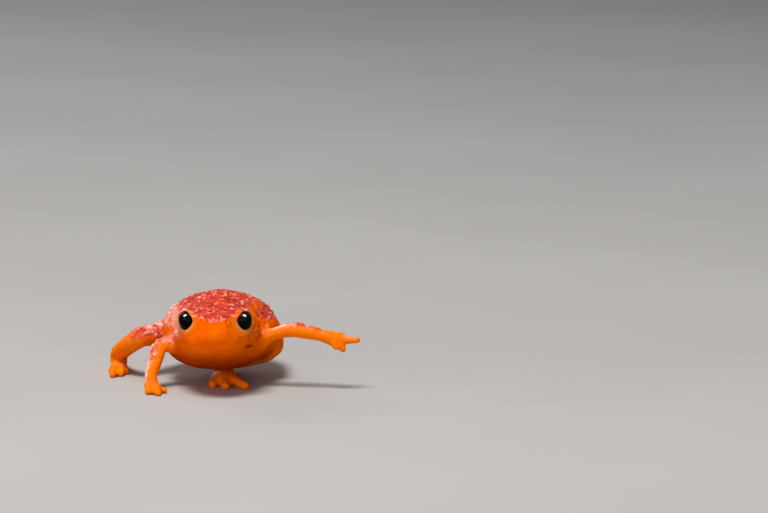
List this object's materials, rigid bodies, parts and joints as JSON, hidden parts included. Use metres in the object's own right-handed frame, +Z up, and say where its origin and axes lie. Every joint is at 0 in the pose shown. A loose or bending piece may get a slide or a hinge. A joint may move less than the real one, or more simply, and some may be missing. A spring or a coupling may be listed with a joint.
{
  "type": "pumpkin toadlet",
  "caption": "Squat toadlet walking with its body raised and a forelimb stretched out to its side; blunt rounded snout, bulging dark eyes, short stubby digits.",
  "frame": {"origin": "on the floor, under the middle of the bounding box", "axes": "+Z up, the animal looks along -Y, its left side and its raised arm at +X"},
  "size_m": [0.015, 0.0128, 0.0054],
  "materials": {
    "skin_head": "moist smooth orange skin, red and granular on top",
    "skin_back": "moist granular red and orange skin",
    "skin_limb": "moist orange skin, red on top",
    "eye": "wet glossy black"
  },
  "bodies": {
    "root": {"head": "skin_head", "trunk": "skin_back", "eye_left": "eye", "eye_right": "eye", "upper_arm_left": "skin_limb", "forearm_left": "skin_limb", "hand_left": "skin_limb", "upper_arm_right": "skin_limb", "forearm_right": "skin_limb", "hand_right": "skin_limb", "thigh_left": "skin_limb", "shank_left": "skin_limb", "foot_left": "skin_limb", "thigh_right": "skin_limb", "shank_right": "skin_limb", "foot_right": "skin_limb"}
  },
  "joints": []
}
